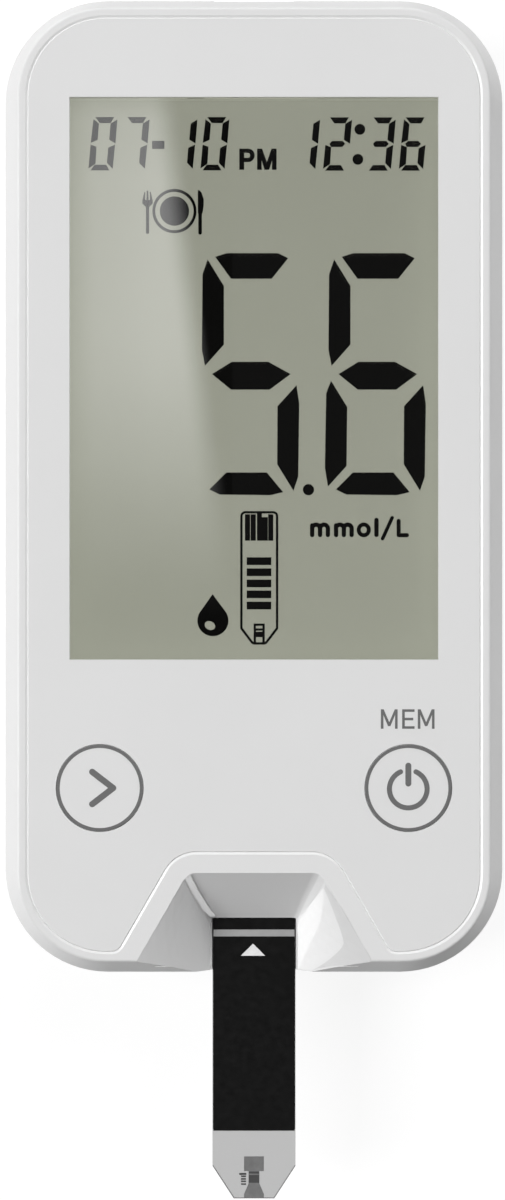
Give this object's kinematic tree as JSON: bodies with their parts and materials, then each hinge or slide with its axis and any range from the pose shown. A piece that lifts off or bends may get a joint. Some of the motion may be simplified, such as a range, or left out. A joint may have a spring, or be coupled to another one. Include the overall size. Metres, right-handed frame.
{
  "type": "blood glucose meter",
  "caption": "Hand-held test-strip meter with a large display, two round push buttons, a funnel strip port with a strip in it and a battery door.",
  "frame": {"origin": "centre of the housing's flat back, on its rest face", "axes": "+X to the right seen from the front, +Y towards the display end, +Z out of the display"},
  "size_m": [0.05, 0.1208, 0.014],
  "materials": {
    "housing_front": "moulded ABS, fine satin",
    "housing_back": "moulded ABS, fine spark texture",
    "panel": "printed panel, satin",
    "clear_window": "clear hard-coated acrylic",
    "display_glass": "clear glass",
    "polariser": "satin grey-green film",
    "reflector": "satin silver film",
    "foam": "closed-cell foam",
    "white_plastic": "moulded, matte",
    "black_plastic": "moulded, matte",
    "board": "solder mask, satin",
    "gold_contact": "gold plated",
    "steel": "stamped steel",
    "screw_steel": "nickel plated",
    "ceramic": "matte",
    "button": "printed cap, satin",
    "strip_film": "polyester film, satin",
    "strip_print": "black print on film, satin",
    "carbon_print": "printed carbon"
  },
  "bodies": {
    "meter": {"front_shell": "housing_front", "faceplate": "panel", "rear_shell": "housing_back", "case_screws": "screw_steel", "board_screws": "screw_steel", "display_window": "clear_window", "display_gasket": "foam", "lcd_front_polariser": "polariser", "lcd_front_glass": "display_glass", "lcd_rear_glass": "display_glass", "lcd_reflector": "reflector", "lcd_holder": "white_plastic", "lcd_connector": "foam", "main_board": "board", "microcontroller": "black_plastic", "analog_chip": "black_plastic", "quartz_crystal": "steel", "buzzer": "black_plastic", "chip_parts": "ceramic", "button_switches": "black_plastic", "strip_connector_body": "black_plastic", "strip_connector_contacts": "gold_contact", "data_socket_shell": "steel", "data_socket_tongue": "black_plastic", "left_coin_cell": "steel", "right_coin_cell": "steel", "negative_contacts": "gold_contact", "positive_contacts": "gold_contact"},
    "next_button": {"next_button_cap": "button", "next_switch_plunger": "black_plastic"},
    "power_button": {"power_button_cap": "button", "power_switch_plunger": "black_plastic"},
    "battery_door": {"battery_door": "housing_back"},
    "test_strip": {"strip_base": "strip_film", "strip_electrodes": "carbon_print", "strip_cover": "strip_print", "strip_tip_film": "strip_film", "sample_channel": "carbon_print"}
  },
  "joints": [
    {"name": "next_button_press", "type": "slide", "parent": "meter", "child": "next_button", "axis": [0, 0, -1], "range_m": [0, 0.0003], "stiffness_N_per_m": 1500, "springref_m": -0.0003},
    {"name": "power_button_press", "type": "slide", "parent": "meter", "child": "power_button", "axis": [0, 0, -1], "range_m": [0, 0.0003], "stiffness_N_per_m": 1500, "springref_m": -0.0003},
    {"name": "strip_pull", "type": "slide", "parent": "meter", "child": "test_strip", "axis": [0, -1, 0], "range_m": [0, 0.013]},
    {"name": "battery_door_swing", "type": "hinge", "parent": "meter", "child": "battery_door", "pos_m": [0, 0.0145, 0.00075], "axis": [-1, 0, 0], "range_deg": [0, 40]}
  ]
}
